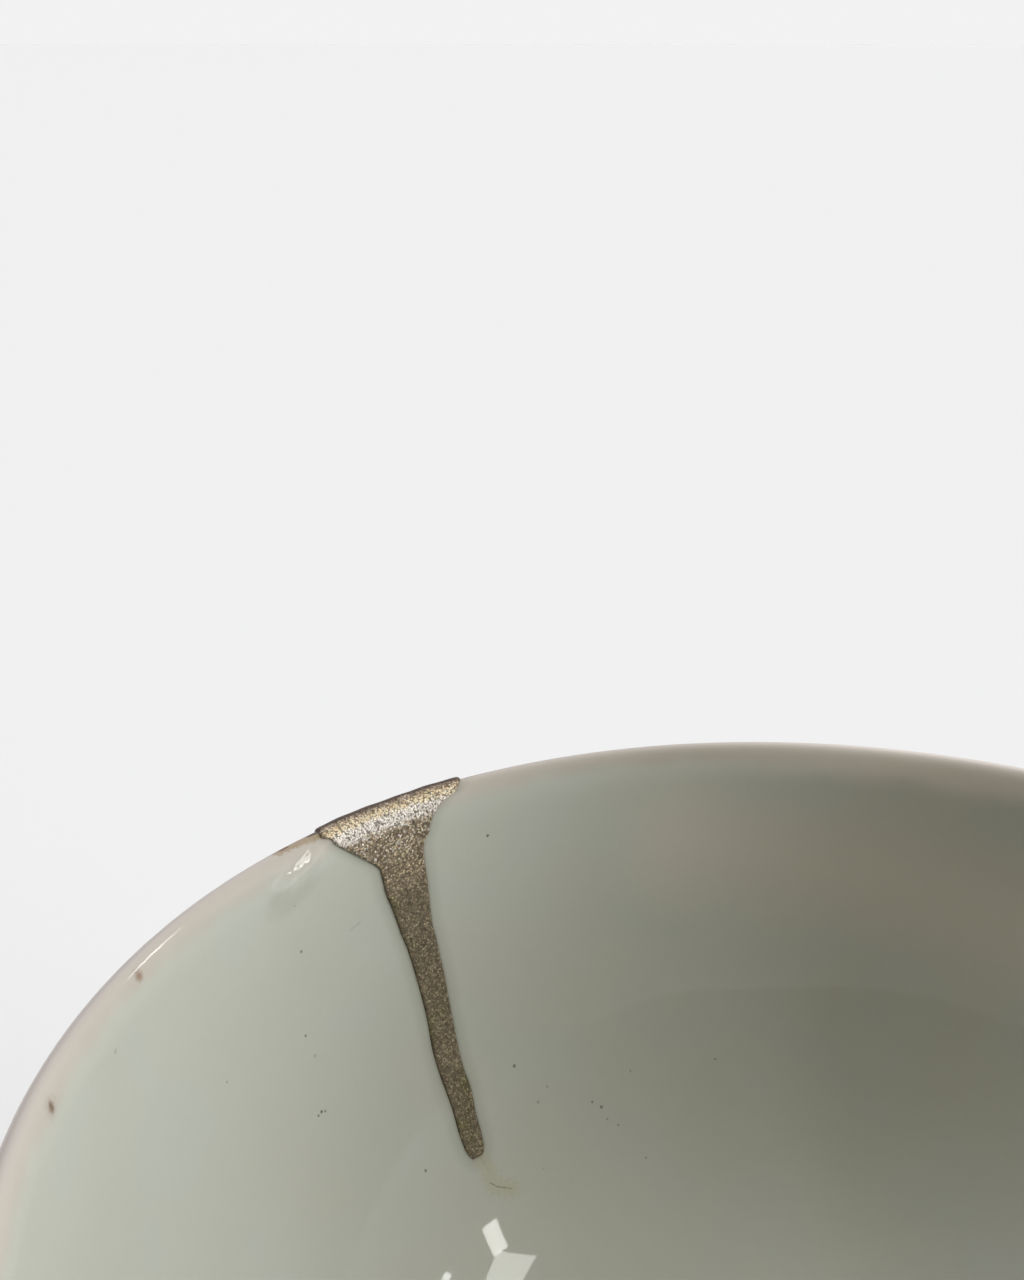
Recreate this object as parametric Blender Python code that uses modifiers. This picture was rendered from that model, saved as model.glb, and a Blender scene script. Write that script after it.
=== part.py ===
"""Kintsugi cup: a thin porcelain tea cup whose chipped and cracked rim is filled with gold lacquer.

Units are metres and +Z is up. The origin is the middle of the circle that the foot ring stands on.
+Y points to the far rim, and the repair is on the far wall, left of the middle.
"""

import math

import bmesh
import bpy
from mathutils import Matrix, Vector

# Cup body
CUP_HEIGHT = 0.0500
RIM_RADIUS = 0.0480
LIP_THICKNESS = 0.0020
LIP_RISE = 0.0010
WALL_THICKNESS_AT_FOOT = 0.0045
FLOOR_THICKNESS = 0.0043
WALL_FULLNESS = 2.5

# Foot ring
FOOT_RADIUS = 0.0225
FOOT_RING_WIDTH = 0.0032
FOOT_RECESS_DEPTH = 0.0047
FOOT_EDGE_ROUND = 0.0006
FOOT_JOIN_FILLET = 0.0012

# Chip and crack, seen from inside the cup: distances left and right of the crack line, and depths
# below the rim plane
REPAIR_TURN_FROM_Y = math.radians(37.7)
CHIP_DEPTH = 0.0042
CHIP_LEFT = 0.0078
CHIP_RIGHT_INSIDE = 0.0027
CHIP_RIGHT_OUTSIDE = 0.0059
NECK_LEFT = 0.0031
NECK_RIGHT = 0.0009
THROAT_DEPTH = 0.0082
THROAT_LEFT = 0.0022
THROAT_RIGHT = 0.0012
CRACK_DEPTH = 0.0145
CRACK_LEFT = 0.0009
CRACK_RIGHT = 0.0016
TAIL_DEPTH = 0.0245
TAIL_LEFT = 0.0008
TAIL_RIGHT = 0.0013
TIP_DEPTH = 0.0274
TIP_LEFT = 0.0007
TIP_RIGHT = 0.0003

# Fill, and how far the solid that shapes it and its bed runs past the wall
FILL_PROUD = 0.00025
FILL_CLEARANCE = 0.0003
CUT_MARGIN = 0.0030
CUT_INNER_TURN = math.radians(63.0)

# Finishes: colour, roughness, metallic value, coat
GLAZE_FINISH = ((0.525, 0.535, 0.475), 0.12, 0.0, 0.6)
GOLD_FINISH = ((0.45, 0.36, 0.22), 0.40, 1.0, 0.0)

# Fineness
TURN_STEPS = 72
WALL_STEPS = 20
LIP_STEPS = 6
FILLET_STEPS = 4
EDGE_STEPS = 2
OUTLINE_STEPS = 4
FILL_TURN_STEPS = 144
MERGE_DISTANCE = 0.00001

# Levels and reaches that follow from the sizes above
RIM_PLANE = CUP_HEIGHT - LIP_RISE
CAVITY_RADIUS = RIM_RADIUS - LIP_THICKNESS
FLOOR_LEVEL = FOOT_RECESS_DEPTH + FLOOR_THICKNESS
CAVITY_DEPTH = RIM_PLANE - FLOOR_LEVEL
RECESS_RADIUS = FOOT_RADIUS - FOOT_RING_WIDTH


def clear_scene():
    """Remove every object, so that the file holds the cup alone."""
    for thing in list(bpy.data.objects):
        bpy.data.objects.remove(thing, do_unlink=True)


def new_collection(name):
    collection = bpy.data.collections.new(name)
    bpy.context.scene.collection.children.link(collection)
    return collection


def principled(name, colour, roughness, metallic, coat):
    material = bpy.data.materials.new(name)
    material.use_nodes = True
    shader = material.node_tree.nodes["Principled BSDF"]
    shader.inputs["Base Color"].default_value = (*colour, 1.0)
    shader.inputs["Roughness"].default_value = roughness
    shader.inputs["Metallic"].default_value = metallic
    shader.inputs["Coat Weight"].default_value = coat
    return material


def cavity_point(turn):
    """Point (radius, height) of the cavity: a superellipse, rim at turn 0, floor middle at 90 degrees."""
    power = 2.0 / WALL_FULLNESS
    across = max(math.cos(turn), 0.0) ** power
    down = max(math.sin(turn), 0.0) ** power
    return CAVITY_RADIUS * across, RIM_PLANE - CAVITY_DEPTH * down


def cavity_normal(turn):
    """Unit direction (radius, height) out of the cavity and into the wall, at right angles to it."""
    power = 2.0 / WALL_FULLNESS
    across = max(math.cos(turn), 0.0) ** power
    down = max(math.sin(turn), 0.0) ** power
    slope = WALL_FULLNESS - 1.0
    normal = Vector((across ** slope / CAVITY_RADIUS, -down ** slope / CAVITY_DEPTH))
    return normal.normalized()


def wall_thickness(turn):
    """The wall thickens from the lip towards the foot."""
    return LIP_THICKNESS + (WALL_THICKNESS_AT_FOOT - LIP_THICKNESS) * math.sin(turn) ** 2


def outside_point(turn, proud=0.0):
    """Point (radius, height) of the outer face, the wall's thickness away from the cavity."""
    radius, height = cavity_point(turn)
    normal = cavity_normal(turn)
    reach = wall_thickness(turn) + proud
    return radius + normal.x * reach, height + normal.y * reach


def inside_point(turn, proud=0.0):
    """Point of the cavity face, moved into the cavity where a fill stands proud."""
    radius, height = cavity_point(turn)
    normal = cavity_normal(turn)
    return radius - normal.x * proud, height - normal.y * proud


def lip_points(proud=0.0):
    """Half ellipse over the lip, from the cavity face to the outer face, without its two ends."""
    middle = RIM_RADIUS - LIP_THICKNESS / 2.0
    points = []
    for step in range(1, LIP_STEPS):
        angle = math.pi * (1.0 - step / LIP_STEPS)
        radius = middle + (LIP_THICKNESS / 2.0 + proud) * math.cos(angle)
        height = RIM_PLANE + (LIP_RISE + proud) * math.sin(angle)
        points.append((radius, height))
    return points


def wall_turns():
    return [math.pi / 2.0 * step / WALL_STEPS for step in range(WALL_STEPS + 1)]


def outside_above_foot():
    """Outer face from the rim down to the fillet over the foot, and the corner where it would meet it."""
    points = [outside_point(turn) for turn in wall_turns()]
    start = FOOT_RADIUS + FOOT_JOIN_FILLET
    kept = [point for point in points if point[0] > start + FOOT_EDGE_ROUND]
    fillet_start = (start, height_at_radius(points, start))
    corner = (FOOT_RADIUS, height_at_radius(points, FOOT_RADIUS))
    return kept, fillet_start, corner


def height_at_radius(points, radius):
    """Height of a line of points, which runs inwards, where it reaches the radius."""
    for upper, lower in zip(points, points[1:]):
        if upper[0] >= radius > lower[0]:
            share = (upper[0] - radius) / (upper[0] - lower[0])
            return upper[1] + share * (lower[1] - upper[1])
    return points[-1][1]


def rounded_corner(start, corner, end, steps):
    """Quadratic curve from start to end that bends at the corner, both ends included."""
    points = []
    for step in range(steps + 1):
        share = step / steps
        ahead = Vector(start).lerp(Vector(corner), share)
        behind = Vector(corner).lerp(Vector(end), share)
        points.append(tuple(ahead.lerp(behind, share)))
    return points


def foot_points():
    """Foot ring in section, from under the fillet to the middle of the recess roof."""
    edge = FOOT_EDGE_ROUND
    outer = rounded_corner(
        (FOOT_RADIUS, edge),
        (FOOT_RADIUS, 0.0),
        (FOOT_RADIUS - edge, 0.0),
        EDGE_STEPS,
    )
    inner = rounded_corner(
        (RECESS_RADIUS + edge, 0.0),
        (RECESS_RADIUS, 0.0),
        (RECESS_RADIUS, edge),
        EDGE_STEPS,
    )
    fillet = FOOT_JOIN_FILLET
    roof = rounded_corner(
        (RECESS_RADIUS, FOOT_RECESS_DEPTH - fillet),
        (RECESS_RADIUS, FOOT_RECESS_DEPTH),
        (RECESS_RADIUS - fillet, FOOT_RECESS_DEPTH),
        EDGE_STEPS,
    )
    return outer + inner + roof + [(0.0, FOOT_RECESS_DEPTH)]


def cup_profile():
    """Whole section: floor middle, up the cavity, over the lip, down the outside, round the foot."""
    cavity = [cavity_point(turn) for turn in reversed(wall_turns())]
    cavity[0] = (0.0, FLOOR_LEVEL)
    kept, fillet_start, corner = outside_above_foot()
    fillet_end = (FOOT_RADIUS, corner[1] - FOOT_JOIN_FILLET)
    fillet = rounded_corner(fillet_start, corner, fillet_end, FILLET_STEPS)
    return cavity + lip_points() + kept + fillet + foot_points()


def fill_profile():
    """Closed section of the wall from the lip to below the crack, proud of both faces."""
    last = RIM_PLANE - TIP_DEPTH - CUT_MARGIN
    turns = [turn for turn in wall_turns() if cavity_point(turn)[1] > last]
    cavity = [inside_point(turn, FILL_PROUD) for turn in reversed(turns)]
    outside = [outside_point(turn, FILL_PROUD) for turn in turns]
    return cavity + lip_points(FILL_PROUD) + outside


def turned(name, points, closed, steps, collection):
    """Turn a section line about Z with a Screw modifier."""
    count = len(points)
    edges = [(index, index + 1) for index in range(count - 1)]
    if closed:
        edges.append((count - 1, 0))
    mesh = bpy.data.meshes.new(name)
    mesh.from_pydata([(radius, 0.0, height) for radius, height in points], edges, [])
    piece = bpy.data.objects.new(name, mesh)
    collection.objects.link(piece)
    screw = piece.modifiers.new("Turn", "SCREW")
    screw.axis = "Z"
    screw.angle = math.tau
    screw.steps = steps
    screw.render_steps = steps
    screw.use_merge_vertices = True
    screw.merge_threshold = MERGE_DISTANCE
    screw.use_smooth_shade = True
    return piece


def break_stations(chip_right, grow):
    """Rows of depth, left reach and right reach down the break, each face made wider by grow."""
    above = -(LIP_RISE + CUT_MARGIN)
    half_chip = CHIP_DEPTH / 2.0
    rows = [
        (above, CHIP_LEFT, chip_right),
        (0.0, CHIP_LEFT, chip_right),
        (half_chip, (CHIP_LEFT + NECK_LEFT) / 2.0, (chip_right + NECK_RIGHT) / 2.0),
        (CHIP_DEPTH, NECK_LEFT, NECK_RIGHT),
        (THROAT_DEPTH, THROAT_LEFT, THROAT_RIGHT),
        (CRACK_DEPTH, CRACK_LEFT, CRACK_RIGHT),
        (TAIL_DEPTH, TAIL_LEFT, TAIL_RIGHT),
        (TIP_DEPTH + grow, TIP_LEFT, TIP_RIGHT),
    ]
    return [(depth, left + grow, right + grow) for depth, left, right in rows]


def smooth_line(points):
    """Curve through the points: a Catmull-Rom run with a few steps between neighbours."""
    vectors = [Vector(point) for point in points]
    padded = [vectors[0]] + vectors + [vectors[-1]]
    line = []
    for before, start, end, after in zip(padded, padded[1:], padded[2:], padded[3:]):
        for step in range(OUTLINE_STEPS):
            share = step / OUTLINE_STEPS
            curve = (
                start * 2.0
                + (end - before) * share
                + (before * 2.0 - start * 5.0 + end * 4.0 - after) * share ** 2
                + (start * 3.0 - before - end * 3.0 + after) * share ** 3
            )
            line.append(curve / 2.0)
    line.append(vectors[-1])
    return line


def break_outline(chip_right, grow):
    """Closed outline (across, height) of the chip and crack: down the left side, up the right side."""
    rows = break_stations(chip_right, grow)
    left = [(-left, depth) for depth, left, right in rows]
    right = [(right, depth) for depth, left, right in rows]
    down = [Vector(left[0])] + smooth_line(left[1:])
    up = smooth_line(list(reversed(right[1:]))) + [Vector(right[0])]
    return [(point.x, RIM_PLANE - point.y) for point in down + up]


def break_wedge(name, grow, collection):
    """Solid that fills the break through the wall, lofted from the cavity side to the outer side.

    The chip is wider on the outer face than on the cavity face, so its right edge slants through the
    lip; the other edges run straight out along the radius.
    """
    inner_reach = cavity_point(CUT_INNER_TURN)[0]
    sections = [
        (inner_reach, CHIP_RIGHT_INSIDE),
        (CAVITY_RADIUS, CHIP_RIGHT_INSIDE),
        (RIM_RADIUS, CHIP_RIGHT_OUTSIDE),
        (RIM_RADIUS + CUT_MARGIN, CHIP_RIGHT_OUTSIDE),
    ]
    shape = bmesh.new()
    rings = []
    for reach, chip_right in sections:
        outline = break_outline(chip_right, grow)
        rings.append([shape.verts.new((across, reach, height)) for across, height in outline])
    for near, far in zip(rings, rings[1:]):
        for index in range(len(near)):
            follow = (index + 1) % len(near)
            shape.faces.new((near[index], near[follow], far[follow], far[index]))
    shape.faces.new(list(reversed(rings[0])))
    shape.faces.new(rings[-1])
    bmesh.ops.recalc_face_normals(shape, faces=shape.faces)
    shape.transform(Matrix.Rotation(REPAIR_TURN_FROM_Y, 4, "Z"))
    mesh = bpy.data.meshes.new(name)
    shape.to_mesh(mesh)
    shape.free()
    wedge = bpy.data.objects.new(name, mesh)
    collection.objects.link(wedge)
    wedge.hide_render = True
    wedge.display_type = "WIRE"
    return wedge


def boolean(piece, cutter, operation):
    cut = piece.modifiers.new(operation.title(), "BOOLEAN")
    cut.operation = operation
    cut.solver = "EXACT"
    cut.object = cutter


def build_cup(parts, cutters):
    cup = turned("porcelain_cup", cup_profile(), False, TURN_STEPS, parts)
    boolean(cup, break_wedge("break_cutter", FILL_CLEARANCE, cutters), "DIFFERENCE")
    cup.data.materials.append(principled("celadon_glaze", *GLAZE_FINISH))
    return cup


def build_repair(parts, cutters):
    repair = turned("gold_repair", fill_profile(), True, FILL_TURN_STEPS, parts)
    boolean(repair, break_wedge("fill_mould", 0.0, cutters), "INTERSECT")
    repair.data.materials.append(principled("gold_lacquer", *GOLD_FINISH))
    return repair


def main():
    clear_scene()
    parts = new_collection("kintsugi_cup")
    cutters = new_collection("cutters")
    build_cup(parts, cutters)
    build_repair(parts, cutters)


main()
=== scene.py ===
"""Looks of the kintsugi cup: glazed porcelain, gold lacquer repair, studio floor, light and camera.

All sizes are metres in the cup's own frame: the origin is the middle of the foot's ground circle, +Z is
up, +Y points to the far rim. Distances along the wall's section are called run: zero on the crest of the
lip, positive down the cavity, negative down the outside.
"""

from __future__ import annotations

import logging
import math
from dataclasses import dataclass, field
from enum import Enum
from typing import Callable, Sequence, Union

import bmesh
import bpy
import numpy as np
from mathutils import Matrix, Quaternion, Vector


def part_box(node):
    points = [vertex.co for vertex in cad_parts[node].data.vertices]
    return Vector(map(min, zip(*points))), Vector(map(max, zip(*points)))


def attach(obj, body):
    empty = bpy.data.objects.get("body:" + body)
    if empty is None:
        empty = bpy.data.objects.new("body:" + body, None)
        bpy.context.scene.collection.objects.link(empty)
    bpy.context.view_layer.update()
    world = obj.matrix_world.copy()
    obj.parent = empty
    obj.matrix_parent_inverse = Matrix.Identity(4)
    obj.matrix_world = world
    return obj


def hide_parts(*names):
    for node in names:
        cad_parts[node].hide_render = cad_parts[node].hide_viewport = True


LOG = logging.getLogger("kintsugi_cup")
MM = 0.001
FINE_STEPS = 20001
PORCELAIN_NODE = "porcelain_cup"
REPAIR_NODE = "gold_repair"

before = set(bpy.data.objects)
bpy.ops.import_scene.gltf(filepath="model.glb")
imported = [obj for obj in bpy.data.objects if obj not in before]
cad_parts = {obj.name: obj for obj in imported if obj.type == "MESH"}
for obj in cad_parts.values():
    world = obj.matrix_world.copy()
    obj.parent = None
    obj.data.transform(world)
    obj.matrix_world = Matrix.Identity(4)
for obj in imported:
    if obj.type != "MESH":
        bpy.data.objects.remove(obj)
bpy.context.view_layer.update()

Array = np.ndarray
Value = Union["Wire", float, Sequence[float]]


class Coordinates(Enum):
    """What a node tree's textures read as their place."""

    OBJECT = "Object"
    DIRECTION = "Generated"


def operator(operation: str, reflected: bool = False) -> Callable[["Wire", Value], "Wire"]:
    """Method of Wire that adds one Math node.

    Args:
        operation: the Math node's operation.
        reflected: whether the other value is the first operand.

    Returns:
        The method.
    """

    def method(wire: "Wire", other: Value) -> "Wire":
        """Result of the operation on the wire and the other value."""
        first, second = (other, wire) if reflected else (wire, other)
        return wire.bench.node("ShaderNodeMath", {"operation": operation}, {0: first, 1: second})

    return method


class Wire:
    """One output socket of a material, so that shader maths reads as Python expressions."""

    __add__, __radd__ = operator("ADD"), operator("ADD", reflected=True)
    __sub__, __rsub__ = operator("SUBTRACT"), operator("SUBTRACT", reflected=True)
    __mul__, __rmul__ = operator("MULTIPLY"), operator("MULTIPLY", reflected=True)
    __pow__, __rpow__ = operator("POWER"), operator("POWER", reflected=True)
    least, most = operator("MINIMUM"), operator("MAXIMUM")

    def __init__(self, bench: "Bench", socket: bpy.types.NodeSocket) -> None:
        """Keep an output socket and the bench that adds nodes for it."""
        self.bench = bench
        self.socket = socket


class Bench:
    """Builds the node tree of a material or of the surroundings."""

    def __init__(
        self, owner: Union[bpy.types.Material, bpy.types.World], place: Coordinates = Coordinates.OBJECT
    ) -> None:
        """Start with an empty tree.

        Args:
            owner: the material or world to build.
            place: the coordinates that its textures read.
        """
        owner.use_nodes = True
        self.owner = owner
        self.tree = owner.node_tree
        self.tree.nodes.clear()
        self.place = self.node("ShaderNodeTexCoord", {}, {}, place.value)

    def node(self, kind: str, settings: dict, inputs: dict, output: Union[str, int] = 0) -> Wire:
        """Add a node of any kind.

        Args:
            kind: the node's type name.
            settings: properties to set before the sockets.
            inputs: values or wires by input name or number.
            output: the output socket wanted.

        Returns:
            That output as a wire.
        """
        made = self.tree.nodes.new(kind)
        for key, value in settings.items():
            setattr(made, key, value)
        for key, value in inputs.items():
            socket = made.inputs[key]
            if isinstance(value, Wire):
                self.tree.links.new(value.socket, socket)
            else:
                socket.default_value = value
        return Wire(self, made.outputs[output])

    def step(self, value: Value, low: float, high: float, start: float = 0.0, end: float = 1.0) -> Wire:
        """Smooth step of a value from one range to another.

        Args:
            value: the value to map.
            low: where the step starts.
            high: where it ends.
            start: result at low.
            end: result at high.

        Returns:
            The mapped value.
        """
        settings = {"interpolation_type": "SMOOTHSTEP", "clamp": True}
        inputs = {"Value": value, "From Min": low, "From Max": high, "To Min": start, "To Max": end}
        return self.node("ShaderNodeMapRange", settings, inputs)

    def noise(self, scale: float, detail: float = 2.0) -> Wire:
        """Noise from 0 to 1 about the object's own coordinates, with scale in waves per metre."""
        return self.node("ShaderNodeTexNoise", {}, {"Vector": self.place, "Scale": scale, "Detail": detail})

    def uneven(self, value: Value, scale: float, reach: float) -> Wire:
        """Value shifted up and down by noise over a full range of reach, with scale in waves per metre."""
        return value + (self.noise(scale) - 0.5) * reach

    def part(self, place: Value, axis: str) -> Wire:
        """One part, X, Y or Z, of a vector or colour."""
        return self.node("ShaderNodeSeparateXYZ", {}, {0: place}, axis)

    def attribute(self, name: str) -> Wire:
        """Number kept on the piece's points under a name."""
        return self.node("ShaderNodeAttribute", {"attribute_name": name}, {}, "Fac")

    def vector(self, operation: str, left: Value, right: Value = (0, 0, 0), output: str = "Vector") -> Wire:
        """Vector maths; the output is "Value" for a length, a distance or a dot product."""
        return self.node("ShaderNodeVectorMath", {"operation": operation}, {0: left, 1: right}, output)

    def blend(self, share: Value, under: Value, over: Value) -> Wire:
        """Mix two colours.

        Args:
            share: 0 gives the first colour, 1 the second.
            under: first colour.
            over: second colour.

        Returns:
            The mixed colour.
        """
        settings = {"data_type": "RGBA", "clamp_factor": True}
        inputs = {0: share, 6: self._rgba(under), 7: self._rgba(over)}
        return self.node("ShaderNodeMix", settings, inputs, 2)

    @staticmethod
    def _rgba(colour: Value) -> Value:
        """Give a plain colour its fourth channel."""
        if isinstance(colour, Wire) or len(colour) == 4:
            return colour
        return (*colour, 1.0)

    def bump(self, height: Wire, distance: float, strength: float = 1.0) -> Wire:
        """Normal bent by a height, of which 1 stands for the distance in metres."""
        inputs = {"Height": height, "Distance": distance, "Strength": strength}
        return self.node("ShaderNodeBump", {}, inputs, "Normal")

    def scaled(self, colour: Value, share: Value) -> Wire:
        """Colour or vector times a number."""
        return self.node("ShaderNodeVectorMath", {"operation": "SCALE"}, {0: colour, "Scale": share})

    def finish(self, constants: dict, links: dict) -> bpy.types.Material:
        """Add the Principled shader and the output.

        Args:
            constants: plain values by socket name.
            links: wires by socket name, for what changes over the surface.

        Returns:
            The finished material.
        """
        shader = self.node("ShaderNodeBsdfPrincipled", {}, {**constants, **links}, "BSDF")
        self.output("ShaderNodeOutputMaterial", shader)
        return self.owner

    def output(self, kind: str, shader: Wire) -> None:
        """Link a shader to a new output node of a kind."""
        made = self.tree.nodes.new(kind)
        self.tree.links.new(shader.socket, made.inputs["Surface"])


def smooth(low: float, high: float, value: Array) -> Array:
    """Smooth step in numpy: 0 below low, 1 above high, an S curve between."""
    share = np.clip((value - low) / (high - low), 0.0, 1.0)
    return share * share * (3.0 - 2.0 * share)


def through(points: Sequence[tuple[float, float]], where: Array) -> Array:
    """Smooth curve y(x) through a few points.

    The curve is a cubic Hermite run: each point's slope is the mean of the slopes on its two sides.

    Args:
        points: pairs of x and y, x rising.
        where: the x values wanted.

    Returns:
        y at each of them, held at the end values beyond the points.
    """
    knots = np.array(points, float)
    x, y = knots[:, 0], knots[:, 1]
    slopes = np.diff(y) / np.diff(x)
    tangents = np.concatenate([slopes[:1], (slopes[:-1] + slopes[1:]) / 2.0, slopes[-1:]])
    place = np.clip(where, x[0], x[-1])
    index = np.clip(np.searchsorted(x, place, side="right") - 1, 0, len(x) - 2)
    width = x[index + 1] - x[index]
    share = (place - x[index]) / width
    start = (2 * share**3 - 3 * share**2 + 1) * y[index]
    leave = (share**3 - 2 * share**2 + share) * width * tangents[index]
    end = (-2 * share**3 + 3 * share**2) * y[index + 1]
    arrive = (share**3 - share**2) * width * tangents[index + 1]
    return start + leave + end + arrive


def spread(low: float, high: float, count: int, spacing: Callable[[Array], Array]) -> Array:
    """Values from low to high whose local spacing is in proportion to a wish.

    The values stand at equal steps of the running sum of one over the wished spacing.

    Args:
        low: first value.
        high: last value.
        count: how many values.
        spacing: wished spacing at each value.

    Returns:
        The values, both ends included.
    """
    fine = np.linspace(low, high, FINE_STEPS)
    weight = 1.0 / spacing(fine)
    total = np.concatenate([[0.0], np.cumsum((weight[1:] + weight[:-1]) / 2.0 * np.diff(fine))])
    return np.interp(np.linspace(0.0, total[-1], count), total, fine)


def bezier(points: Sequence[Sequence[float]], count: int) -> Array:
    """Count points of the cubic Bezier curve of points a to d, where r is 1 - t.

    At share t the curve is r^3 a + 3 r^2 t b + 3 r t^2 c + t^3 d: it starts at a towards b, and ends at d
    coming from c.
    """
    share = np.linspace(0.0, 1.0, count)[:, None]
    first, second, third, fourth = (np.array(point, float) for point in points)
    rest = 1.0 - share
    return rest**3 * first + 3 * rest**2 * share * second + 3 * rest * share**2 * third + share**3 * fourth


def lengths(line: Array) -> Array:
    """Length of a line of points from its start up to each point."""
    return np.concatenate([[0.0], np.cumsum(np.hypot(*np.diff(line, axis=0).T))])


def turned(point: Array, turn: Array) -> Array:
    """Points of radius r and height h turned to azimuth u: x = r sin(u), y = r cos(u), z = h."""
    radius = point[..., 0]
    return np.stack([radius * np.sin(turn), radius * np.cos(turn), point[..., 1]], axis=-1)


def grid_faces(rows: int, columns: int, offset: int = 0, closed: bool = False) -> Array:
    """Quads of a grid of points stored row by row.

    Args:
        rows: points along the first direction.
        columns: points along the second.
        offset: index of the grid's first point.
        closed: whether the last column joins the first.

    Returns:
        One row of four indices for each quad.
    """
    index = np.arange(rows * columns).reshape(rows, columns) + offset
    if closed:
        index = np.concatenate([index, index[:, :1]], axis=1)
    corners = (index[:-1, :-1], index[:-1, 1:], index[1:, 1:], index[1:, :-1])
    return np.stack(corners, axis=-1).reshape(-1, 4)


def put(name: str, data: bpy.types.ID) -> bpy.types.Object:
    """New object of a name for some data, linked to the scene."""
    made = bpy.data.objects.new(name, data)
    bpy.context.scene.collection.objects.link(made)
    return made


def mesh_object(name: str, points: Array, faces: list, values: dict[str, Array]) -> bpy.types.Object:
    """Put points and faces into a new object.

    Args:
        name: the object's name.
        points: one row of x, y, z for each vertex.
        faces: lists of vertex indices.
        values: numbers for each vertex, by attribute name.

    Returns:
        The object, linked to the scene and shaded smooth.
    """
    mesh = bpy.data.meshes.new(name)
    mesh.from_pydata(points.tolist(), [], faces)
    for key, numbers in values.items():
        layer = mesh.attributes.new(key, "FLOAT", "POINT")
        layer.data.foreach_set("value", np.ascontiguousarray(numbers, np.float32))
    mesh.shade_smooth()
    return put(name, mesh)


def weld(piece: bpy.types.Object, distance: float) -> None:
    """Merge doubled points and turn every face outwards.

    Args:
        piece: the object to clean.
        distance: points nearer than this become one.
    """
    shape = bmesh.new()
    shape.from_mesh(piece.data)
    bmesh.ops.remove_doubles(shape, verts=shape.verts, dist=distance)
    bmesh.ops.dissolve_degenerate(shape, edges=shape.edges, dist=distance / 10.0)
    bmesh.ops.recalc_face_normals(shape, faces=shape.faces)
    shape.to_mesh(piece.data)
    shape.free()


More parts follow.
